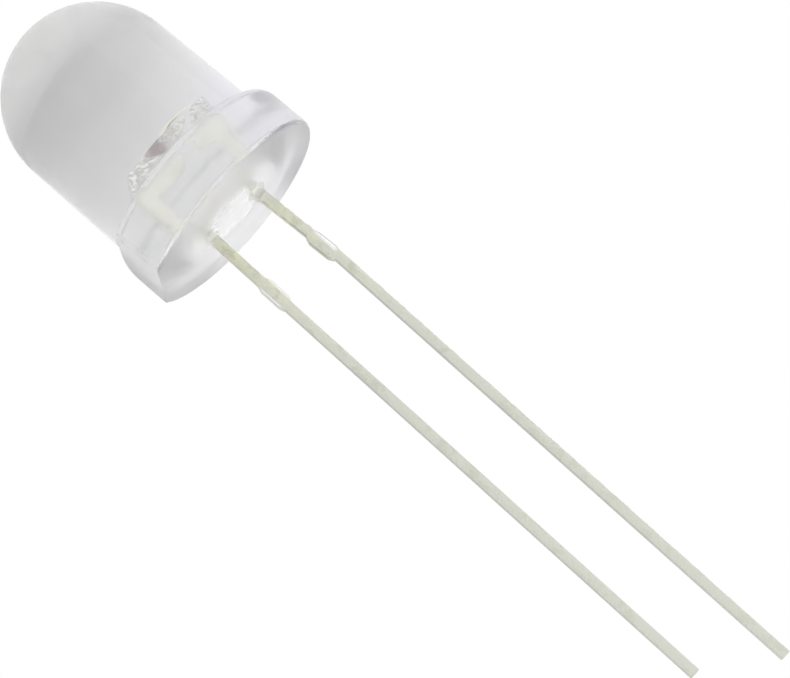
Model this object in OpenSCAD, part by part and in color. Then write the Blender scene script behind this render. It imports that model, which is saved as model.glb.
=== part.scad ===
// Round clear-lens through hole LED, 8 mm class, two leads.
// The lens points up +Z. The origin is the centre of the seat, the underside of the flange.
// The flat and the shorter cathode lead are on the -X side, the anode lead on the +X side.

/* [Lens] */
// Height of the lens over the seat
lens_h = 11.05; // [9.5:0.05:14]
// Diameter of the barrel where it leaves the flange
barrel_d = 7.75; // [7.4:0.05:7.95]
// Draft of the barrel on each side, in degrees
barrel_draft = 0.65; // [0.2:0.05:1.5]

/* [Flange] */
// Diameter of the flange
flange_d = 9.1; // [8.9:0.05:9.8]
// Height of the flange over the seat
flange_h = 2.45; // [2.3:0.05:3]
// Radius of the rounded shoulder on top of the flange
shoulder_r = 0.65; // [0.2:0.05:0.65]
// Radius of the rounded rim round the seat
rim_r = 0.18; // [0.05:0.01:0.4]
// Distance from the lens axis to the cathode flat
flat_x = 4.05; // [4:0.01:4.3]
// Diameter of the resin that creeps down each lead at the seat
creep_d = 0.85; // [0.8:0.05:1.2]
// How far that resin creeps below the seat on the cathode lead
creep_h = 0.2; // [0.1:0.05:0.4]
// How much further the resin creeps down the anode lead
creep_extra = 0.2; // [0:0.05:0.3]
// How far the resin stands out past a lead's corners at its lowest
creep_lip = 0.05; // [0.03:0.01:0.1]

/* [Leads] */
// Width of a lead, along X
lead_w = 0.4; // [0.35:0.01:0.5]
// Thickness of the stamped sheet, along Y
sheet_t = 0.4; // [0.35:0.01:0.5]
// Pitch of the leads at the seat
pitch = 2.54; // [2.4:0.02:2.7]
// How far the anode lead is spread outward by the foot of its stop
anode_spread = 0.26; // [0:0.02:0.4]
// Length of the cathode lead below the seat
cathode_l = 25; // [16:0.5:30]
// Length of the anode lead below the seat
anode_l = 27; // [18:0.5:32]
// Distance from the seat down to the top of the stops
stop_z = 2.75; // [2.2:0.05:6]
// Height of a stop, the stub of the trimmed tie bar
stop_h = 1.4; // [0.8:0.1:2]
// Width of a stop
stop_w = 0.57; // [0.54:0.01:0.9]
// Distance that the stops stand off centre on their leads, towards -X
stop_shift = 0.06; // [0:0.01:0.08]
// Width of the chamfers on a stop
stop_chamfer_w = 0.1; // [0.04:0.01:0.14]
// Height of those chamfers
stop_chamfer_h = 0.24; // [0.1:0.02:0.3]
// Tilt of the cast-in lead frame in the lens, in degrees
frame_tilt = 1.6; // [0:0.1:2]

/* [Lead frame in the lens] */
// Height of the top of the cathode anvil over the seat
anvil_top = 3.75; // [3.4:0.05:4.2]
// Height of the underside of the anvil over the seat
anvil_bottom = 2.15; // [1.8:0.05:2.4]
// Reach of the anvil's top past the lens axis
anvil_reach = 0.98; // [0.7:0.02:1]
// Where the anvil's slanted edge meets its underside, short of the lens axis
anvil_foot = 0.05; // [0:0.05:0.5]
// Width of the chamfer on the anvil's outer top corner
anvil_chamfer_w = 0.28; // [0.1:0.02:0.4]
// Height of that chamfer
anvil_chamfer_h = 0.65; // [0.3:0.05:1]
// Height of the top of the anode post over the seat
post_top = 3.9; // [3.6:0.05:4.3]
// Gap between the anvil and the post at the anvil's top corner
frame_gap = 0.22; // [0.2:0.02:0.3]
// Distance from the lens axis to the post's toe
post_toe_x = 0.55; // [0.45:0.05:0.8]
// Height of the post's toe over the seat
post_toe_z = 2.35; // [2.2:0.05:2.6]
// Height of the post's neck over the seat
post_neck_z = 2; // [1.6:0.05:2.1]
// How far the post's head stands out past its lead
post_head = 0.13; // [0.05:0.01:0.3]
// Depth of the locking notches cut in the buried leads
notch_d = 0.08; // [0.04:0.01:0.12]
// Height of a locking notch
notch_h = 0.35; // [0.2:0.05:0.5]
// Height of the middle of the locking notches over the seat
notch_z = 1.1; // [0.7:0.05:1.3]

/* [Reflector cup] */
// Diameter of the cup's mouth
cup_d = 1.04; // [0.9:0.02:1.1]
// Diameter of the cup's floor
cup_floor_d = 0.56; // [0.5:0.01:0.6]
// Depth of the cup
cup_depth = 0.36; // [0.25:0.01:0.4]
// Wall of the cup at its rim
cup_wall = 0.1; // [0.06:0.01:0.15]
// Depth of the swelling that the cup raises on both sides of the sheet
cup_swell = 0.74; // [0.66:0.02:0.9]
// Width of that swelling at its foot
cup_foot_d = 0.32; // [0.26:0.01:0.34]

/* [Die and bond wire] */
// Side of the square die
die_w = 0.3; // [0.2:0.01:0.31]
// Height of the die
die_h = 0.15; // [0.1:0.01:0.2]
// Diameter of the die attach spot
attach_d = 0.44; // [0.43:0.005:0.455]
// Height of the die attach spot
attach_h = 0.03; // [0.02:0.005:0.05]
// Diameter of the bond wire
wire_d = 0.03; // [0.024:0.002:0.05]
// Diameter of the ball bond on the die
ball_d = 0.1; // [0.07:0.01:0.14]
// Height of the wire's loop over the post
loop_h = 0.15; // [0.1:0.05:0.6]
// Length of the wire's flat end on the post
wedge_l = 0.12; // [0.06:0.02:0.2]

/* [Hidden] */

$fn = 96;
past = 1;                                   // how far a cut runs past what it cuts
barrel_r = barrel_d / 2;
flange_r = flange_d / 2;
dome_r = (barrel_r * cos(barrel_draft) - (lens_h - flange_h) * sin(barrel_draft))
    / (1 - sin(barrel_draft));              // touches the drafted barrel without a step
dome_z = lens_h - dome_r;                   // centre of the dome
tangent_r = dome_r * cos(barrel_draft);
tangent_z = dome_z + dome_r * sin(barrel_draft);

lead_x = pitch / 2;
lead_side = lead_w / 2;
creep_tip_d = norm([lead_w, sheet_t]) + 2 * creep_lip;
stop_foot = stop_z + stop_h;                // where a lead is straight again, below the seat

cup_floor_z = anvil_top - cup_depth;
die_z = cup_floor_z + attach_h;
die_top = die_z + die_h;
post_left = anvil_reach + frame_gap;
post_right = lead_x + lead_side + post_head;
wire_end_x = (post_left + post_right) / 2;

// The bond wire's rings: [distance along X, height, slope in degrees, radius]
wire_sides = 8;
wire_steps = 14;
loop_pull = 1.3;                               // lifts the curve's corners so that it reaches loop_h
loop_knee = 0.72;                              // share of the way to the post at the second corner
ball_foot = 0.8;                               // width of the ball where it is pressed on the die
ball_neck = 0.7;                               // width of the ball where the wire leaves it
wire_flat = cos(180 / wire_sides);             // a flat side of the wire, as a share of its radius
wire_r = wire_d / 2;
wire_rise = die_top + ball_d;                  // where the wire leaves the ball
wire_low = post_top + wire_r * wire_flat;      // axis of the wire where it lies on the post
wire_points = [                                // corners that the loop's curve is drawn from
    [0, wire_rise], [0, post_top + loop_h * loop_pull],
    [wire_end_x * loop_knee, post_top + loop_h * loop_pull], [wire_end_x - wedge_l / 2, wire_low]];

function bezier(p, t) = pow(1 - t, 3) * p[0] + 3 * pow(1 - t, 2) * t * p[1]
    + 3 * (1 - t) * t * t * p[2] + pow(t, 3) * p[3];
function bezier_way(p, t) = 3 * pow(1 - t, 2) * (p[1] - p[0]) + 6 * (1 - t) * t * (p[2] - p[1])
    + 3 * t * t * (p[3] - p[2]);
function loop_ring(t) = let (c = bezier(wire_points, t), w = bezier_way(wire_points, t))
    [c[0], c[1], atan2(w[1], w[0]), wire_r];

wire_rings = concat(
    [[0, die_top, 90, ball_foot * ball_d / 2], [0, die_top + ball_d / 3, 90, ball_d / 2],
        [0, die_top + ball_d * 2 / 3, 90, ball_neck * ball_d / 2]],
    [for (i = [0 : wire_steps - 1]) loop_ring(i / wire_steps)],
    [[wire_end_x - wedge_l / 2, wire_low, 0, wire_r], [wire_end_x + wedge_l / 2, wire_low, 0, wire_r]]);

// The lead frame was cast in at a slight tilt, so all that it carries shares the tilt
module in_frame() {
    rotate([0, frame_tilt, 0]) children();
}

// A flat stamping: its outline is drawn in X and Z, the sheet lies across Y
module stamped() {
    rotate([90, 0, 0]) linear_extrude(height = sheet_t, center = true) children();
}

// What a rounded outer corner leaves of its square
module corner_waste(r) {
    difference() {
        square(r + past);
        circle(r);
    }
}

module flange_profile() {
    difference() {
        square([flange_r, flange_h]);
        translate([flange_r - shoulder_r, flange_h - shoulder_r]) corner_waste(shoulder_r);
        translate([flange_r - rim_r, rim_r]) mirror([0, 1]) corner_waste(rim_r);
    }
}

module dome_profile() {
    intersection() {
        translate([0, dome_z]) circle(dome_r);
        translate([0, tangent_z]) square([barrel_d, lens_h]);
    }
}

module lens_blank() {
    rotate_extrude() union() {
        flange_profile();
        polygon([[0, 0], [barrel_r, 0], [barrel_r, flange_h], [tangent_r, tangent_z], [0, tangent_z]]);
        dome_profile();
    }
}

// Resin drawn down a lead at the seat
module creep(x, h) {
    translate([x, 0, -h]) cylinder(h = h, d1 = creep_tip_d, d2 = creep_d);
}

module lens() {
    color("lavender", 0.4) difference() {
        union() {
            difference() {
                lens_blank();
                translate([-flat_x - flange_d, -flange_d, -past])
                    cube([flange_d, 2 * flange_d, flange_h + 2 * past]);
            }
            creep(-lead_x, creep_h);
            creep(lead_x, creep_h + creep_extra);
        }
        cathode_lead();
        anode_lead();
        die_attach();
        die();
        bond_wire();
    }
}

// Where the middle of a lead stands below the seat: it spreads down to the foot of its stop
function lead_at(side, spread, z) = side * (lead_x + spread * min(1, -z / stop_foot));

// The trimmed stub of the tie bar, which leans as its lead does
module stop_outline(side, spread) {
    half = stop_w / 2;
    polygon([
        for (c = [
            [stop_chamfer_w - half, -stop_z], [half - stop_chamfer_w, -stop_z],
            [half, -stop_z - stop_chamfer_h], [half, stop_chamfer_h - stop_foot],
            [half - stop_chamfer_w, -stop_foot], [stop_chamfer_w - half, -stop_foot],
            [-half, stop_chamfer_h - stop_foot], [-half, -stop_z - stop_chamfer_h]])
        [lead_at(side, spread, c[1]) - stop_shift + c[0], c[1]]]);
}

// One lead, on the side of X that side names, from its head in the lens down to its tip
module lead_outline(side, spread, length, head_z) {
    seat_x = side * lead_x;
    out_x = side * (lead_x + spread);
    polygon([
        [seat_x - lead_side, head_z], [seat_x + lead_side, head_z], [seat_x + lead_side, 0],
        [out_x + lead_side, -stop_foot], [out_x + lead_side, -length], [out_x - lead_side, -length],
        [out_x - lead_side, -stop_foot], [seat_x - lead_side, 0]]);
    stop_outline(side, spread);
}

// Both edges of a buried lead, notched so that the resin holds it
module notched(side) {
    difference() {
        children();
        for (edge = [-1, 1])
            translate([side * lead_x + edge * lead_side, notch_z])
                polygon([[0, -notch_h / 2], [-edge * notch_d, -notch_h / 4],
                    [-edge * notch_d, notch_h / 4], [0, notch_h / 2],
                    [edge * past / 4, notch_h / 2], [edge * past / 4, -notch_h / 2]]);
    }
}

module anvil_outline() {
    outer = -lead_x - lead_side;
    polygon([
        [outer, anvil_bottom], [outer, anvil_top - anvil_chamfer_h], [outer + anvil_chamfer_w, anvil_top],
        [anvil_reach, anvil_top], [-anvil_foot, anvil_bottom]]);
}

module cathode_lead() {
    color("gainsboro") in_frame() difference() {
        union() {
            stamped() notched(-1) lead_outline(-1, 0, cathode_l, anvil_bottom + lead_w);
            stamped() anvil_outline();
            translate([0, 0, anvil_top - cup_swell])
                cylinder(h = cup_swell, d1 = cup_foot_d, d2 = cup_d + 2 * cup_wall);
        }
        translate([0, 0, cup_floor_z]) cylinder(h = cup_depth, d1 = cup_floor_d, d2 = cup_d);
        translate([0, 0, anvil_top]) cylinder(h = past, d = cup_d);
    }
}

module post_outline() {
    polygon([
        [lead_x - lead_side, post_neck_z], [post_toe_x, post_toe_z], [post_left, post_top],
        [post_right, post_top], [post_right, post_toe_z], [lead_x + lead_side, post_neck_z]]);
}

module anode_lead() {
    color("gainsboro") in_frame() union() {
        stamped() notched(1) lead_outline(1, anode_spread, anode_l, post_toe_z);
        stamped() post_outline();
    }
}

module die_attach() {
    color("silver") in_frame() translate([0, 0, cup_floor_z]) cylinder(h = attach_h, d = attach_d);
}

module die() {
    color("goldenrod") in_frame() translate([-die_w / 2, -die_w / 2, die_z]) cube([die_w, die_w, die_h]);
}

// Corners of one ring of the wire, turned so that a flat side faces down
function ring_corners(ring) = [for (k = [0 : wire_sides - 1])
    let (a = 360 * (k + 0.5) / wire_sides, across = ring[3] * cos(a), up = ring[3] * sin(a))
    [ring[0] - up * sin(ring[2]), across, ring[1] + up * cos(ring[2])]];

module bond_wire() {
    last = len(wire_rings) - 1;
    corners = [for (ring = wire_rings) each ring_corners(ring)];
    walls = [for (i = [0 : last - 1], k = [0 : wire_sides - 1])
        let (a = i * wire_sides + k, b = i * wire_sides + (k + 1) % wire_sides)
        each [[a, b, b + wire_sides], [a, b + wire_sides, a + wire_sides]]];
    start = [for (k = [0 : wire_sides - 1]) wire_sides - 1 - k];
    end = [for (k = [0 : wire_sides - 1]) last * wire_sides + k];
    color("gold") in_frame() polyhedron(points = corners, faces = concat(walls, [start, end]), convexity = 4);
}

lens();
cathode_lead();
anode_lead();
die();
die_attach();
bond_wire();
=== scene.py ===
from math import cos, hypot, pi, radians, sin

import bmesh
import bpy
from mathutils import Matrix, Quaternion, Vector


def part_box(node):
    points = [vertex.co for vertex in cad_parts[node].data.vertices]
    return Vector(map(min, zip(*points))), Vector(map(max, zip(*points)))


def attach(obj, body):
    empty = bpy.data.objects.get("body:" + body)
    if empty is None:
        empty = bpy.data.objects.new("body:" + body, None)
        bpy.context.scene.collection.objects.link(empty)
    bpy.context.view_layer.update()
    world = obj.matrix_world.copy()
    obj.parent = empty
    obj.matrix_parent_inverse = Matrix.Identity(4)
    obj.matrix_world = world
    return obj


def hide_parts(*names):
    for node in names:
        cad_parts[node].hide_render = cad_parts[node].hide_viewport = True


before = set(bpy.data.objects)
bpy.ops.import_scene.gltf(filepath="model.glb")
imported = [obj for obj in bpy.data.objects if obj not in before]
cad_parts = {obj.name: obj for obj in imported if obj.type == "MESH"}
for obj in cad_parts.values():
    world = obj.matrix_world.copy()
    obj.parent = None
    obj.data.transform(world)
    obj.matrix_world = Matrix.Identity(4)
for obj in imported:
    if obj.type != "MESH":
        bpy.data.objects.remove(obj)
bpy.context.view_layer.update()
mm = 0.001
print("frame loaded:", ", ".join(sorted(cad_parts)))


# Sizes are in millimetres, angles in degrees, colours in linear light

# Mesh helpers
def nodeMesh(name):
    bm = bmesh.new()
    bm.from_mesh(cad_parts[name].data)
    bmesh.ops.remove_doubles(bm, verts=bm.verts[:], dist=0.0005 * mm)
    bmesh.ops.dissolve_limit(bm, angle_limit=radians(0.4), verts=bm.verts[:], edges=bm.edges[:],
                             use_dissolve_boundaries=False, delimit=set())
    return bm


def softenEdges(bm, radius, steps, angle=24):
    sharp = [e for e in bm.edges if e.is_manifold and e.calc_face_angle(0) > radians(angle)]
    return bmesh.ops.bevel(bm, geom=sharp, offset=radius * mm, offset_type="OFFSET", segments=steps,
                           profile=0.5, affect="EDGES", clamp_overlap=True, material=-1)["faces"]


def finishPiece(bm, name, material, angle=35):
    for face in bm.faces:
        face.smooth = True
    for edge in bm.edges:
        edge.smooth = edge.is_manifold and edge.calc_face_angle(0) < radians(angle)
    mesh = bpy.data.meshes.new(name)
    bm.to_mesh(mesh)
    bm.free()
    mesh.materials.append(material)
    piece = bpy.data.objects.new(name, mesh)
    bpy.context.scene.collection.objects.link(piece)
    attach(piece, "root")
    print("made", name, "with", len(mesh.polygons), "faces")
    return piece


# Material helpers
def newMaterial(name):
    material = bpy.data.materials.new(name)
    material.use_nodes = True
    tree = material.node_tree
    return material, tree, tree.nodes["Principled BSDF"]


def newGroup(name, inputs, outputs):
    group = bpy.data.node_groups.new(name, "ShaderNodeTree")
    for label, kind, value in inputs:
        socket = group.interface.new_socket(name=label, in_out="INPUT", socket_type=kind)
        if value is not None:
            socket.default_value = value
    for label, kind in outputs:
        group.interface.new_socket(name=label, in_out="OUTPUT", socket_type=kind)
    return group, group.nodes.new("NodeGroupInput").outputs, group.nodes.new("NodeGroupOutput").inputs


def setInput(tree, socket, value):
    if isinstance(value, bpy.types.NodeSocket):
        tree.links.new(value, socket)
    elif socket.type == "RGBA" and len(value) == 3:
        socket.default_value = (*value, 1)
    else:
        socket.default_value = value


def addNode(tree, kind, inputs=None, **settings):
    made = tree.nodes.new(kind)
    for key, value in settings.items():
        setattr(made, key, value)
    for key, value in (inputs or {}).items():
        setInput(tree, made.inputs[key], value)
    return made


def calc(tree, operation, first, second=0.5, clamp=False):
    made = addNode(tree, "ShaderNodeMath", {0: first, 1: second}, operation=operation)
    made.use_clamp = clamp
    return made.outputs[0]


def blendColors(tree, amount, first, second, mode="MIX"):
    made = addNode(tree, "ShaderNodeMix", {0: amount, 6: first, 7: second}, data_type="RGBA", blend_type=mode)
    return made.outputs[2]


def stretch(tree, value, low, high, outLow=0.0, outHigh=1.0, mode="LINEAR"):
    made = addNode(tree, "ShaderNodeMapRange", {0: value, 1: low, 2: high, 3: outLow, 4: outHigh},
                   interpolation_type=mode)
    return made.outputs[0]


def objectPoints(tree, turn=(0, 0, 0), scale=(1, 1, 1), move=(0, 0, 0)):
    points = addNode(tree, "ShaderNodeTexCoord").outputs["Object"]
    return addNode(tree, "ShaderNodeMapping", {
        "Vector": points, "Location": move, "Rotation": [radians(a) for a in turn], "Scale": scale}).outputs[0]


def splitPoints(tree, points):
    return addNode(tree, "ShaderNodeSeparateXYZ", {0: points}).outputs


def noiseValue(tree, points, scale, detail=3.0, roughness=0.5, distortion=0.0):
    return addNode(tree, "ShaderNodeTexNoise", {
        "Vector": points, "Scale": scale, "Detail": detail, "Roughness": roughness,
        "Distortion": distortion}).outputs[0]


# Mottled grain at two sizes, shared by every finish here
def mottleGroup():
    group, given, out = newGroup("mottle", [
        ("Points", "NodeSocketVector", None), ("Scale", "NodeSocketFloat", 1000.0),
        ("Contrast", "NodeSocketFloat", 0.5)], [("Mask", "NodeSocketFloat"), ("Fine", "NodeSocketFloat")])
    broad = noiseValue(group, given["Points"], given["Scale"], 3, 0.6, 0.4)
    fine = noiseValue(group, given["Points"], calc(group, "MULTIPLY", given["Scale"], 6.3), 4, 0.65)
    both = calc(group, "ADD", calc(group, "MULTIPLY", broad, 0.7), calc(group, "MULTIPLY", fine, 0.3))
    low = calc(group, "MULTIPLY", given["Contrast"], 0.45)
    lowEnd, highEnd = calc(group, "ADD", 0.0, low), calc(group, "SUBTRACT", 1.0, low)
    setInput(group, out["Mask"], stretch(group, both, lowEnd, highEnd))
    setInput(group, out["Fine"], fine)
    return group


# Fine marks that run one way, as from drawing, sawing or moulding
def marksGroup():
    group, given, out = newGroup("marks", [
        ("Points", "NodeSocketVector", None), ("Scale", "NodeSocketFloat", 4000.0),
        ("Stretch", "NodeSocketFloat", 0.03)], [("Mask", "NodeSocketFloat")])
    parts = splitPoints(group, given["Points"])
    along = calc(group, "MULTIPLY", parts[2], given["Stretch"])
    pulled = addNode(group, "ShaderNodeCombineXYZ", {0: parts[0], 1: parts[1], 2: along}).outputs[0]
    setInput(group, out["Mask"], noiseValue(group, pulled, given["Scale"], 3, 0.6))
    return group


# Small round pits and specks
def specksGroup():
    group, given, out = newGroup("specks", [
        ("Points", "NodeSocketVector", None), ("Scale", "NodeSocketFloat", 3000.0),
        ("Size", "NodeSocketFloat", 0.2)], [("Mask", "NodeSocketFloat")])
    cells = addNode(group, "ShaderNodeTexVoronoi", {
        "Vector": given["Points"], "Scale": given["Scale"], "Randomness": 1.0}, feature="F1")
    spot = stretch(group, cells.outputs["Distance"], given["Size"], calc(group, "MULTIPLY", given["Size"], 0.5))
    few = stretch(group, splitPoints(group, cells.outputs["Color"])[0], 0.55, 0.75)
    setInput(group, out["Mask"], calc(group, "MULTIPLY", spot, few))
    return group


mottle, marks, specks = mottleGroup(), marksGroup(), specksGroup()
print("made the shared effects")


def useGroup(tree, group, inputs):
    made = addNode(tree, "ShaderNodeGroup", node_tree=group)
    for key, value in inputs.items():
        setInput(tree, made.inputs[key], value)
    return made.outputs


def bump(tree, height, strength, distance):
    return addNode(tree, "ShaderNodeBump", {
        "Height": height, "Strength": strength, "Distance": distance * mm}).outputs[0]


# Clear resin: a faint veil, painted shade in a greyer ring where the dome starts, painted light that lightens the +X
# side, the top of the dome, the flange and the open face, and a violet cast low on the +X side
lensFinish = {
    "color": (0.80, 0.80, 0.805),
    "litSideColor": (0.81, 0.81, 0.815),
    "litDomeColor": (0.84, 0.84, 0.835),
    "shadeRingColor": (0.62, 0.62, 0.625),
    "litFootColor": (0.95, 0.95, 0.955),
    "litBaseColor": (1.0, 1.0, 1.0),
    "castColor": (0.88, 0.855, 0.95),
    "shadeRingHeight": 7.5,
    "shadeRingSpread": 1.5,
    "clear": 0.78,            # how much light goes through; the rest is the veil
    "ior": 1.53,
    "roughness": 0.03,
    "hazeRoughness": 0.07,
    "footRoughness": 0.2,     # the flange left the mould duller than the barrel
    "flatRoughness": 0.3,     # its flat is duller still, and so is its open face
    "baseRoughness": 0.45,
    "neckRoughness": 0.14,    # but round the leads that face is shiny and rippled
    "ripple": 0.1,
}


def resinMaterial(finish):
    material, tree, shader = newMaterial("clearEpoxy")
    points = objectPoints(tree)
    x, y, z = splitPoints(tree, points)
    cloud = useGroup(tree, mottle, {"Points": points, "Scale": 260.0, "Contrast": 0.5})
    flow = useGroup(tree, marks, {
        "Points": objectPoints(tree, turn=(0, 35, 0)), "Scale": 420.0, "Stretch": 0.4})["Mask"]
    dust = useGroup(tree, specks, {"Points": points, "Scale": 1500.0, "Size": 0.06})["Mask"]
    # painted shade: a greyer ring where the dome starts, blotched by the cloud
    fromShadeRing = calc(tree, "ABSOLUTE", calc(tree, "SUBTRACT", z, finish["shadeRingHeight"] * mm))
    shadeRing = stretch(tree, fromShadeRing, finish["shadeRingSpread"] * mm, 0, mode="SMOOTHSTEP")
    shadeRing = calc(tree, "MULTIPLY", shadeRing, stretch(tree, cloud["Mask"], 0, 1, 0.6, 1.0))
    cast = calc(tree, "MULTIPLY", stretch(tree, x, 0, 3.6 * mm, mode="SMOOTHSTEP"),
                stretch(tree, z, 5.5 * mm, 2.5 * mm, mode="SMOOTHSTEP"))
    cast = calc(tree, "MULTIPLY", cast, stretch(tree, cloud["Mask"], 0.1, 0.9, 0.4, 1.0))
    # painted light: the +X side is a little lighter, with a blotched edge
    side = calc(tree, "ADD", x, calc(tree, "MULTIPLY", calc(tree, "SUBTRACT", cloud["Mask"], 0.5), 2 * mm))
    side = stretch(tree, side, -0.2 * mm, 1.8 * mm, mode="SMOOTHSTEP")
    # painted light: the top of the dome is lighter
    litDome = stretch(tree, z, 8.0 * mm, 9.3 * mm, mode="SMOOTHSTEP")
    # painted light: the flange and the lower barrel are lighter
    foot = stretch(tree, z, 4.8 * mm, 2.0 * mm, mode="SMOOTHSTEP")
    color = blendColors(tree, side, finish["color"], finish["litSideColor"])
    color = blendColors(tree, litDome, color, finish["litDomeColor"])
    color = blendColors(tree, shadeRing, color, finish["shadeRingColor"])
    color = blendColors(tree, foot, color, finish["litFootColor"])
    color = blendColors(tree, cast, color, finish["castColor"])
    # painted light: the open face and the resin drawn down the leads are left untinted, so they render lightest
    base = stretch(tree, z, 0.05 * mm, 0)
    color = blendColors(tree, base, color, finish["litBaseColor"])
    setInput(tree, shader.inputs["Base Color"], color)
    haze = calc(tree, "MAXIMUM", calc(tree, "MULTIPLY", flow, 0.5), dust)
    polished = stretch(tree, haze, 0, 1, finish["roughness"], finish["hazeRoughness"])
    fromAxis = calc(tree, "SQRT", calc(tree, "ADD", calc(tree, "POWER", x, 2), calc(tree, "POWER", y, 2)))
    ripples = noiseValue(tree, points, 1300.0, 1.5, 0.4, 0.6)
    fromAxis = calc(tree, "ADD", fromAxis, calc(tree, "MULTIPLY", calc(tree, "SUBTRACT", ripples, 0.5), 1.6 * mm))
    neck = calc(tree, "MULTIPLY", stretch(tree, fromAxis, 2.0 * mm, 0.7 * mm, mode="SMOOTHSTEP"), base)
    dull = stretch(tree, stretch(tree, x, -3.86 * mm, -3.94 * mm), 0, 1, finish["footRoughness"], finish["flatRoughness"])
    dull = stretch(tree, base, 0, 1, dull, finish["baseRoughness"])
    dull = stretch(tree, neck, 0, 1, dull, finish["neckRoughness"])
    dull = calc(tree, "MULTIPLY", dull, stretch(tree, z, 2.9 * mm, 2.5 * mm))
    setInput(tree, shader.inputs["Roughness"], calc(tree, "MAXIMUM", polished, dull))
    relief = calc(tree, "ADD", calc(tree, "MULTIPLY", flow, 0.0064), calc(tree, "MULTIPLY", ripples, neck))
    setInput(tree, shader.inputs["Normal"], bump(tree, relief, 1.0, finish["ripple"]))
    shader.inputs["IOR"].default_value = finish["ior"]
    shader.inputs["Transmission Weight"].default_value = finish["clear"]
    return material


# Tin plating: crinkled and lightest on the heads in the lens, partly brighter plating and partly painted light, straw
# near the body, greyer further down; painted light lightens the lead inside the lens, painted highlights lie on the
# +X edges and the stops' wings, and painted shade lies in the creases, on the -X edges and on half of the cup
leadFinish = {
    "silver": (0.71, 0.72, 0.64),
    "straw": (0.80, 0.81, 0.60),
    "neck": (0.88, 0.88, 0.79),
    "head": (1.0, 1.0, 0.97),
    "creaseShade": (0.74, 0.74, 0.68),
    "paintedHighlight": (0.97, 0.97, 0.94),
    "scuffed": (0.42, 0.43, 0.33),
    "stain": (0.46, 0.46, 0.36),
    "shadedEdge": (0.22, 0.22, 0.16),
    "pressed": (0.98, 0.98, 0.97),
    "coneShade": (0.52, 0.42, 0.42),
    "cut": (0.36, 0.36, 0.34),
    "roughness": 0.34,
}


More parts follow.
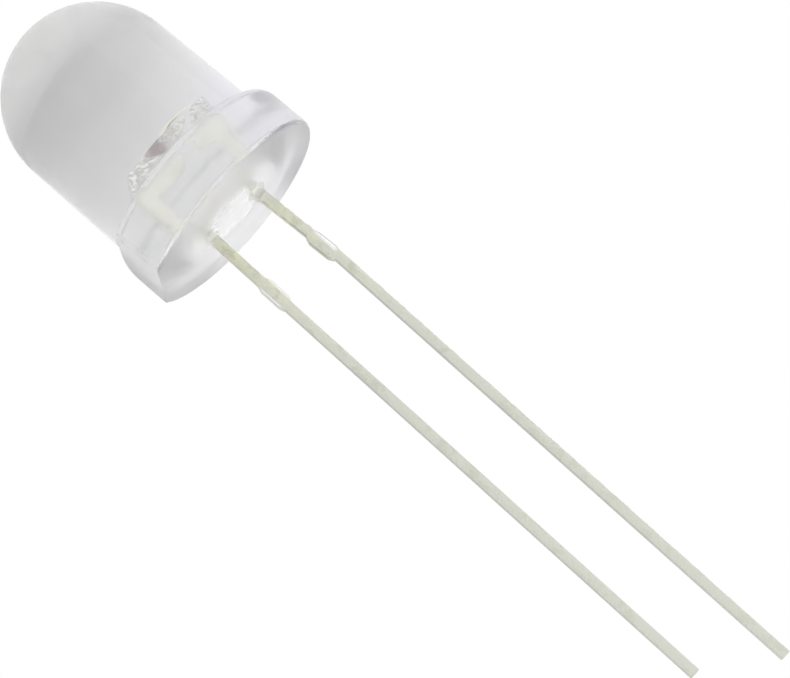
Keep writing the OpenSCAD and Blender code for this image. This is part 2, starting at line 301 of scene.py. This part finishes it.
def leadMaterial(finish):
    material, tree, shader = newMaterial("tinnedLead")
    points = objectPoints(tree)
    x, y, z = splitPoints(tree, points)
    normal = splitPoints(tree, addNode(tree, "ShaderNodeNewGeometry").outputs["Normal"])
    patches = useGroup(tree, mottle, {"Points": points, "Scale": 1500.0, "Contrast": 0.9})
    broad = useGroup(tree, mottle, {"Points": points, "Scale": 500.0, "Contrast": 0.9})["Mask"]
    drawn = useGroup(tree, marks, {"Points": points, "Scale": 9000.0, "Stretch": 0.02})["Mask"]
    crinkle = useGroup(tree, marks, {
        "Points": objectPoints(tree, turn=(0, 40, 0)), "Scale": 14000.0, "Stretch": 0.4})["Mask"]
    # painted light: the lead inside the lens is lighter, and on the anode it reaches 0.2 mm lower, over the shade
    # under the resin drawn down it
    litHeight = calc(tree, "ADD", z, stretch(tree, x, -0.1 * mm, 0.1 * mm, 0, 0.2 * mm))
    inLens = stretch(tree, litHeight, -0.4 * mm, -0.15 * mm)
    head = stretch(tree, z, 2.3 * mm, 3.0 * mm)
    nearBody = stretch(tree, z, -7 * mm, -1.5 * mm)
    flecks = useGroup(tree, mottle, {"Points": points, "Scale": 2600.0, "Contrast": 0.9})["Mask"]
    straw = calc(tree, "MULTIPLY", nearBody, stretch(tree, calc(tree, "MULTIPLY", broad, flecks), 0, 0.6, 0.2, 1.0))
    plated = blendColors(tree, straw, finish["silver"], finish["straw"])
    plated = blendColors(tree, inLens, plated, finish["neck"])
    # the heads in the lens are lightest, partly from brighter plating and partly from painted light
    plated = blendColors(tree, head, plated, finish["head"])
    # the crinkle is bumped, and its creases are darkened with painted shade
    creased = calc(tree, "MULTIPLY", stretch(tree, crinkle, 0.48, 0.6), head)
    plated = blendColors(tree, calc(tree, "MULTIPLY", creased, 0.8), plated, finish["creaseShade"])
    rim = addNode(tree, "ShaderNodeAttribute", attribute_name="bevelFaces").outputs["Fac"]
    # painted highlight along the bevelled edges that face +X
    paintedHighlight = calc(tree, "MULTIPLY", rim, stretch(tree, flecks, 0.2, 0.45))
    plated = blendColors(tree, calc(tree, "MULTIPLY", paintedHighlight, stretch(tree, normal[0], -0.3, 0.5)),
                         plated, finish["paintedHighlight"])
    # painted highlight on the +X faces between the stop and the body, broken by dark scuffs
    chips = useGroup(tree, marks, {"Points": points, "Scale": 1500.0, "Stretch": 1.0})["Mask"]
    upper = calc(tree, "MULTIPLY", stretch(tree, z, -2.8 * mm, -2.6 * mm), stretch(tree, z, -0.3 * mm, -0.5 * mm))
    litSideScuffs = calc(tree, "MULTIPLY", upper, stretch(tree, normal[0], 0.08, 0.2))
    plated = blendColors(tree, litSideScuffs, plated, blendColors(
        tree, stretch(tree, chips, 0.5, 0.54), finish["scuffed"], finish["paintedHighlight"]))
    # painted shade: dark lines along the bevelled edges that face -X, outside the lens, down to about 4 mm below the
    # body
    shadedEdgeMask = calc(tree, "MULTIPLY", calc(tree, "MULTIPLY", rim, stretch(tree, flecks, 0.55, 0.4)),
                     stretch(tree, normal[0], -0.3, -0.8))
    shadedEdgeMask = calc(tree, "MULTIPLY", shadedEdgeMask, stretch(tree, z, -4.5 * mm, -3.8 * mm))
    outside = stretch(tree, inLens, 1, 0)
    plated = blendColors(tree, calc(tree, "MULTIPLY", shadedEdgeMask, outside), plated, finish["shadedEdge"])
    stained = calc(tree, "MULTIPLY", stretch(tree, patches["Mask"], 0.62, 0.9),
                   stretch(tree, z, -16 * mm, -1.5 * mm, 0.15, 0.35))
    stained = calc(tree, "MULTIPLY", stained, stretch(tree, inLens, 0, 1, 1.0, 0.2))
    plated = blendColors(tree, stained, plated, finish["stain"])
    # painted shade, dark and reddish, on the left half of the cup's bulge, on the front of the heads
    shadedConeHalf = calc(tree, "MULTIPLY", stretch(tree, x, -0.45 * mm, -0.25 * mm), stretch(tree, x, 0.22 * mm, 0))
    shadedConeHalf = calc(tree, "MULTIPLY", shadedConeHalf, stretch(tree, y, -0.2 * mm, -0.26 * mm))
    plated = blendColors(tree, calc(tree, "MULTIPLY", shadedConeHalf, head), plated, finish["coneShade"])
    # painted highlight on the pressed wings of the stops, edged by the painted shade on their bevels
    across = calc(tree, "ABSOLUTE", splitPoints(tree, objectPoints(tree, turn=(0, -1.6, 0)))[0])
    edge = stretch(tree, x, -0.1 * mm, 0.1 * mm, 0.185 * mm, 0.24 * mm)
    wing = stretch(tree, calc(tree, "ABSOLUTE", calc(tree, "SUBTRACT", across, 1.27 * mm)),
                   edge, calc(tree, "MULTIPLY", edge, 1.35))
    wing = calc(tree, "MULTIPLY", wing, calc(tree, "MULTIPLY", stretch(tree, z, -2.78 * mm, -3.0 * mm),
                                             stretch(tree, z, -4.12 * mm, -3.9 * mm)))
    plated = blendColors(tree, wing, plated, blendColors(tree, rim, finish["pressed"], finish["shadedEdge"]))
    cut = calc(tree, "MULTIPLY", stretch(tree, normal[2], -0.6, -0.9), stretch(tree, z, -23 * mm, -24 * mm))
    setInput(tree, shader.inputs["Base Color"], blendColors(tree, cut, plated, finish["cut"]))
    shader.inputs["Metallic"].default_value = 1.0
    setInput(tree, shader.inputs["Roughness"], stretch(
        tree, patches["Fine"], 0.2, 0.8, finish["roughness"] - 0.12, finish["roughness"] + 0.12))
    relief = calc(tree, "ADD", calc(tree, "MULTIPLY", drawn, 0.2), calc(tree, "MULTIPLY", patches["Mask"], 0.4))
    relief = calc(tree, "ADD", relief, calc(tree, "MULTIPLY", creased, 1.8))
    setInput(tree, shader.inputs["Normal"], bump(tree, relief, 0.7, 0.03))
    return material


# The die: a dark body, sawn sides and a metal pad under the ball of the wire
dieForm = {"edge": 0.012}
dieFinish = {"color": (0.05, 0.045, 0.02), "pad": (0.72, 0.52, 0.22), "side": (0.16, 0.13, 0.08)}


def dieMaterial(finish):
    material, tree, shader = newMaterial("semiconductor")
    points = objectPoints(tree)
    parts = splitPoints(tree, points)
    facing = splitPoints(tree, addNode(tree, "ShaderNodeNewGeometry").outputs["Normal"])[2]
    grain = useGroup(tree, mottle, {"Points": points, "Scale": 12000.0, "Contrast": 0.6})
    saw = useGroup(tree, marks, {"Points": points, "Scale": 60000.0, "Stretch": 0.05})["Mask"]
    fromAxis = calc(tree, "SQRT", calc(tree, "ADD", calc(tree, "POWER", calc(tree, "ADD", parts[0], -0.088 * mm), 2),
                                       calc(tree, "POWER", parts[1], 2)))
    pad = calc(tree, "MULTIPLY", stretch(tree, fromAxis, 0.075 * mm, 0.068 * mm), stretch(tree, facing, 0.6, 0.8))
    body = blendColors(tree, stretch(tree, facing, 0.3, 0.7), blendColors(
        tree, saw, finish["side"], finish["color"]), finish["color"])
    setInput(tree, shader.inputs["Base Color"], blendColors(tree, pad, body, finish["pad"]))
    setInput(tree, shader.inputs["Metallic"], pad)
    setInput(tree, shader.inputs["Roughness"], stretch(tree, grain["Fine"], 0.2, 0.8, 0.15, 0.4))
    setInput(tree, shader.inputs["Normal"], bump(tree, saw, 0.3, 0.004))
    return material


pasteFinish = {"color": (0.52, 0.52, 0.50), "flake": (0.85, 0.85, 0.83)}


def pasteMaterial(finish):
    material, tree, shader = newMaterial("silverEpoxy")
    points = objectPoints(tree)
    flakes = useGroup(tree, specks, {"Points": points, "Scale": 42000.0, "Size": 0.6})["Mask"]
    grain = useGroup(tree, mottle, {"Points": points, "Scale": 15000.0, "Contrast": 0.5})
    setInput(tree, shader.inputs["Base Color"], blendColors(tree, flakes, finish["color"], finish["flake"]))
    setInput(tree, shader.inputs["Metallic"], stretch(tree, flakes, 0, 1, 0.4, 1.0))
    setInput(tree, shader.inputs["Roughness"], stretch(tree, flakes, 0, 1, 0.6, 0.3))
    setInput(tree, shader.inputs["Normal"], bump(tree, grain["Mask"], 0.6, 0.006))
    return material


wireFinish = {"color": (0.95, 0.92, 0.82), "deep": (0.86, 0.8, 0.66)}


def wireMaterial(finish):
    material, tree, shader = newMaterial("goldWire")
    points = objectPoints(tree)
    grain = useGroup(tree, mottle, {"Points": points, "Scale": 20000.0, "Contrast": 0.5})
    setInput(tree, shader.inputs["Base Color"], blendColors(
        tree, grain["Mask"], finish["deep"], finish["color"]))
    shader.inputs["Metallic"].default_value = 1.0
    setInput(tree, shader.inputs["Roughness"], stretch(tree, grain["Fine"], 0.2, 0.8, 0.15, 0.35))
    setInput(tree, shader.inputs["Normal"], bump(tree, grain["Fine"], 0.3, 0.002))
    return material


# The lens: its outline is drawn from the dome's foot up to the top, then down to the middle of the base
lensForm = {
    "around": 192,            # divisions round the axis
    "barrelRadius": 3.875,    # at the flange
    "barrelDraft": 0.65,
    "flangeHeight": 2.45,
    "shoulderRadius": 0.65,
    "rimRadius": 0.18,
    "cornerFillet": 0.02,     # where the barrel meets the flange
    "flatEdge": ((0.08, 0.045), (0.08, 0.04), (0.07, 0.03), (0.05, 0.015)),   # steps in and out round the flat
    "flatReach": 2.3,         # from the middle of its lower edge, which stays sharp
    "dishDepth": 0.008,       # the open face of the casting sinks a little inside its rim
    "dishWidth": 2.4,
    "creepWidth": 0.32,       # resin drawn down each lead
    "creeps": ((-1.27, 0.2), (1.27, 0.4)),
    "leadHalf": 0.2,
}


def lineTo(bm, last, x, z, steps=1):
    start = last.co.copy()
    for i in range(1, steps + 1):
        point = bm.verts.new(start.lerp(Vector((x * mm, 0, z * mm)), i / steps))
        bm.edges.new((last, point))
        last = point
    return last


def arcTo(bm, last, x, z, angle, steps):
    turned = bmesh.ops.spin(bm, geom=[last], cent=(x * mm, 0, z * mm), axis=(0, 1, 0), dvec=(0, 0, 0),
                            angle=radians(angle), steps=steps, use_merge=False, use_duplicate=False)
    return [g for g in turned["geom_last"] if isinstance(g, bmesh.types.BMVert)][0]


def buildLens(form):
    low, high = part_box("lens")
    top, flangeRadius, flatX = high.z / mm, high.x / mm, -low.x / mm
    flangeHeight, draft = form["flangeHeight"], radians(form["barrelDraft"])
    barrelHeight = top - flangeHeight
    domeRadius = (form["barrelRadius"] * cos(draft) - barrelHeight * sin(draft)) / (1 - sin(draft))
    domeZ = top - domeRadius
    bm = bmesh.new()
    foot = bm.verts.new((domeRadius * cos(draft) * mm, 0, (domeZ + domeRadius * sin(draft)) * mm))
    arcTo(bm, foot, 0, domeZ, -(90 - form["barrelDraft"]), 48)
    fillet, shoulder, rim = form["cornerFillet"], form["shoulderRadius"], form["rimRadius"]
    last = lineTo(bm, foot, form["barrelRadius"], flangeHeight + fillet, 12)
    last = arcTo(bm, last, last.co.x / mm + fillet, flangeHeight + fillet, -90, 4)
    last = lineTo(bm, last, flangeRadius - shoulder, flangeHeight, 2)
    last = arcTo(bm, last, flangeRadius - shoulder, flangeHeight - shoulder, 90, 14)
    last = lineTo(bm, last, flangeRadius, rim, 6)
    last = arcTo(bm, last, flangeRadius - rim, rim, 90, 6)
    lineTo(bm, last, 0, 0, 88)
    bmesh.ops.spin(bm, geom=bm.verts[:] + bm.edges[:], cent=(0, 0, 0), axis=(0, 0, 1), dvec=(0, 0, 0),
                   angle=2 * pi, steps=form["around"], use_merge=True)
    bmesh.ops.remove_doubles(bm, verts=bm.verts[:], dist=0.001 * mm)

    # The open face of the casting: dished, with the resin drawn down both leads
    for vert in bm.verts:
        x, y, z = vert.co / mm
        if abs(z) > 0.0005 or hypot(x, y) > flangeRadius - rim + 0.001:
            continue
        inward = min((flangeRadius - rim - hypot(x, y)) / form["dishWidth"], 1)
        drop = -form["dishDepth"] * inward * inward * (3 - 2 * inward)
        for leadX, height in form["creeps"]:
            away = hypot(max(abs(x - leadX) - form["leadHalf"], 0), max(abs(y) - form["leadHalf"], 0))
            near = max(1 - away / form["creepWidth"], 0)
            drop += (height - drop) * near * near
        vert.co.z = -drop * mm

    # The cathode flat, with a softened edge
    soft = sum(outward for inward, outward in form["flatEdge"])
    cut = bmesh.ops.bisect_plane(bm, geom=bm.verts[:] + bm.edges[:] + bm.faces[:], dist=0.0001 * mm,
                                 plane_co=((soft - flatX) * mm, 0, 0), plane_no=(-1, 0, 0), clear_outer=True)
    bmesh.ops.remove_doubles(bm, verts=[g for g in cut["geom_cut"] if isinstance(g, bmesh.types.BMVert)],
                             dist=0.03 * mm)
    openEdges = [e for e in bm.edges if e.is_boundary]
    flat = bmesh.ops.edgeloop_fill(bm, edges=openEdges)["faces"]
    bmesh.ops.recalc_face_normals(bm, faces=bm.faces[:])
    for inward, outward in form["flatEdge"]:
        bmesh.ops.inset_region(bm, faces=flat, thickness=0.0005 * mm, depth=outward * mm,
                               use_even_offset=False, use_boundary=True)
        narrower = 1 - inward / form["flatReach"]
        bmesh.ops.scale(bm, verts=flat[0].verts[:], vec=(1, narrower, narrower))
    return bm


resin = resinMaterial(lensFinish)
lens = finishPiece(buildLens(lensForm), "epoxyLens", resin)
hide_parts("lens")


# The two halves of the lead frame keep the part's outline and get the rounded edges of a stamping
leadForm = {
    "edgeRadius": 0.1,
    "edgeSteps": 5,
    "tilt": 1.6,
    "leadX": -1.27,
    "stopTop": -2.73,         # the cathode stop is as wide on both sides of its lead
    "stopFoot": -4.14,
    "stopHalf": 0.295,
}


def evenStop(bm, form):
    upright = Matrix.Rotation(radians(-form["tilt"]), 3, "Y")
    bmesh.ops.rotate(bm, verts=bm.verts[:], matrix=upright)
    for vert in bm.verts:
        side, z = vert.co.x / mm - form["leadX"], vert.co.z / mm
        if not form["stopFoot"] - 0.05 < z < form["stopTop"] + 0.05:
            continue
        if side > 0.21:
            side = form["stopHalf"]
        elif side > 0.19:
            z = form["stopTop"] if z > -3.4 else form["stopFoot"]
        elif side < -0.3:
            side = -form["stopHalf"]
        elif side < -0.21:
            side = -0.215
        vert.co.x, vert.co.z = (side + form["leadX"]) * mm, z * mm
    bmesh.ops.rotate(bm, verts=bm.verts[:], matrix=upright.inverted())


def buildLead(name, form):
    bm = nodeMesh(name)
    if name == "cathode_lead":
        evenStop(bm, form)
    bevelLayer = bm.faces.layers.float.new("bevelFaces")
    for face in softenEdges(bm, form["edgeRadius"], form["edgeSteps"]):
        face[bevelLayer] = 1.0
    return bm


plating = leadMaterial(leadFinish)
for name in ("cathode_lead", "anode_lead"):
    lead = finishPiece(buildLead(name, leadForm), name.replace("_", ""), plating)
    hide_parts(name)


def buildDie(form):
    bm = nodeMesh("die")
    softenEdges(bm, form["edge"], 2)
    return bm


die = finishPiece(buildDie(dieForm), "ledDie", dieMaterial(dieFinish))
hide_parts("die")

paste = finishPiece(nodeMesh("die_attach"), "dieAttachSpot", pasteMaterial(pasteFinish))
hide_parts("die_attach")

wire = finishPiece(nodeMesh("bond_wire"), "bondWire", wireMaterial(wireFinish))
smoother = wire.modifiers.new("smooth", "SUBSURF")
smoother.levels = smoother.render_levels = 2
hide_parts("bond_wire")


# Stage and light
studio = {
    "paper": 1.0,             # what the camera sees behind the part
    "fill": 0.85,             # light on plain surfaces
    "darkSide": 0.52,         # what the metal mirrors from -X and from +X
    "brightSide": 1.15,
    "behind": 0.8,            # what shows through the resin from +Y and from -Y
    "front": 1.3,
    "lean": 0.16,
    "above": 0.25,
    "mirroredFloor": 1.0,     # the floor as a mirror shows it and as it shows through the resin
    "floorThrough": 0.84,
    "floorZ": -40,
}


def buildFloor(setup):
    material, tree, shader = newMaterial("paperFloor")
    fibres = useGroup(tree, mottle, {"Points": objectPoints(tree), "Scale": 40.0, "Contrast": 0.4})
    setInput(tree, shader.inputs["Base Color"], blendColors(
        tree, calc(tree, "MULTIPLY", fibres["Mask"], 0.3), (0.93, 0.93, 0.93), (0.9, 0.9, 0.9)))
    shader.inputs["Roughness"].default_value = 0.9
    path = addNode(tree, "ShaderNodeLightPath").outputs
    white = addNode(tree, "ShaderNodeEmission", {"Color": (1, 1, 1), "Strength": stretch(
        tree, path["Is Transmission Ray"], 0, 1, setup["mirroredFloor"], setup["floorThrough"])})
    shown = calc(tree, "MAXIMUM", path["Is Glossy Ray"], path["Is Transmission Ray"])
    both = addNode(tree, "ShaderNodeMixShader", {0: shown, 1: shader.outputs[0], 2: white.outputs[0]})
    tree.links.new(both.outputs[0], tree.nodes["Material Output"].inputs["Surface"])
    bm = bmesh.new()
    bmesh.ops.create_grid(bm, x_segments=4, y_segments=4, size=1.5)
    bmesh.ops.translate(bm, verts=bm.verts[:], vec=(0, 0, setup["floorZ"] * mm))
    mesh = bpy.data.meshes.new("paperFloor")
    bm.to_mesh(mesh)
    bm.free()
    mesh.materials.append(material)
    floor = bpy.data.objects.new("paperFloor", mesh)
    bpy.context.scene.collection.objects.link(floor)


def buildWorld(setup):
    world = bpy.data.worlds.new("studioWorld")
    bpy.context.scene.world = world
    world.use_nodes = True
    tree = world.node_tree
    tree.nodes.clear()
    way = splitPoints(tree, addNode(tree, "ShaderNodeTexCoord").outputs["Generated"])
    mirrored = stretch(tree, way[0], -0.8, 0.9, setup["darkSide"], setup["brightSide"])
    through = stretch(tree, way[1], 0.9, -0.9, setup["behind"], setup["front"])
    lean = calc(tree, "MULTIPLY", calc(tree, "MULTIPLY", way[0], way[1]), -setup["lean"])
    through = calc(tree, "ADD", calc(tree, "ADD", through, lean), stretch(tree, way[2], 0.5, 0.85, 0, setup["above"]))
    white = addNode(tree, "ShaderNodeBackground", {"Color": (1, 1, 1), "Strength": setup["paper"]})
    whole = addNode(tree, "ShaderNodeBackground", {"Color": (1, 1, 1), "Strength": setup["fill"]})
    path = addNode(tree, "ShaderNodeLightPath").outputs
    for ray, strength in (("Is Glossy Ray", mirrored), ("Is Transmission Ray", through)):
        seen = addNode(tree, "ShaderNodeBackground", {"Color": (1, 1, 1), "Strength": strength})
        whole = addNode(tree, "ShaderNodeMixShader", {0: path[ray], 1: whole.outputs[0], 2: seen.outputs[0]})
    whole = addNode(tree, "ShaderNodeMixShader", {0: path["Is Camera Ray"], 1: whole.outputs[0], 2: white.outputs[0]})
    out = addNode(tree, "ShaderNodeOutputWorld")
    tree.links.new(whole.outputs[0], out.inputs[0])


lampSetup = {
    "key": {"place": (240, -120, 90), "width": 320, "watts": 0.075, "color": (1, 1, 1)},
    "fill": {"place": (-180, -160, 90), "width": 300, "watts": 0.045, "color": (0.98, 0.99, 1)},
}


def addLamp(name, setup):
    lamp = bpy.data.lights.new(name, "AREA")
    lamp.shape, lamp.size = "DISK", setup["width"] * mm
    lamp.energy, lamp.color = setup["watts"], setup["color"]
    holder = bpy.data.objects.new(name, lamp)
    bpy.context.scene.collection.objects.link(holder)
    holder.location = Vector(setup["place"]) * mm
    holder.rotation_euler = (-holder.location).to_track_quat("-Z", "Y").to_euler()


# The photograph's viewpoint, from below on the cathode side
cameraSetup = {
    "place": (-21.1598, -103.9954, -28.9486),
    "aim": (0.7092, 1.6973, -7.7167),
    "roll": -49.7139,
    "lens": 128.6859,
    "sensor": 36,
}


def addCamera(setup):
    camera = bpy.data.cameras.new("photoCamera")
    camera.lens, camera.sensor_width, camera.clip_start = setup["lens"], setup["sensor"], 0.005
    holder = bpy.data.objects.new("photoCamera", camera)
    bpy.context.scene.collection.objects.link(holder)
    place, aim = Vector(setup["place"]) * mm, Vector(setup["aim"]) * mm
    turn = (aim - place).to_track_quat("-Z", "Y") @ Quaternion((0, 0, 1), radians(setup["roll"]))
    holder.location, holder.rotation_euler = place, turn.to_euler()
    bpy.context.scene.camera = holder


buildFloor(studio)
buildWorld(studio)
for name, setup in lampSetup.items():
    addLamp(name + "Lamp", setup)
addCamera(cameraSetup)
bpy.context.scene.view_settings.view_transform = "Standard"
paths = bpy.context.scene.cycles                        # light turns many times inside the clear resin
paths.max_bounces, paths.transmission_bounces, paths.glossy_bounces = 40, 40, 32
print("stage, light and camera are set")
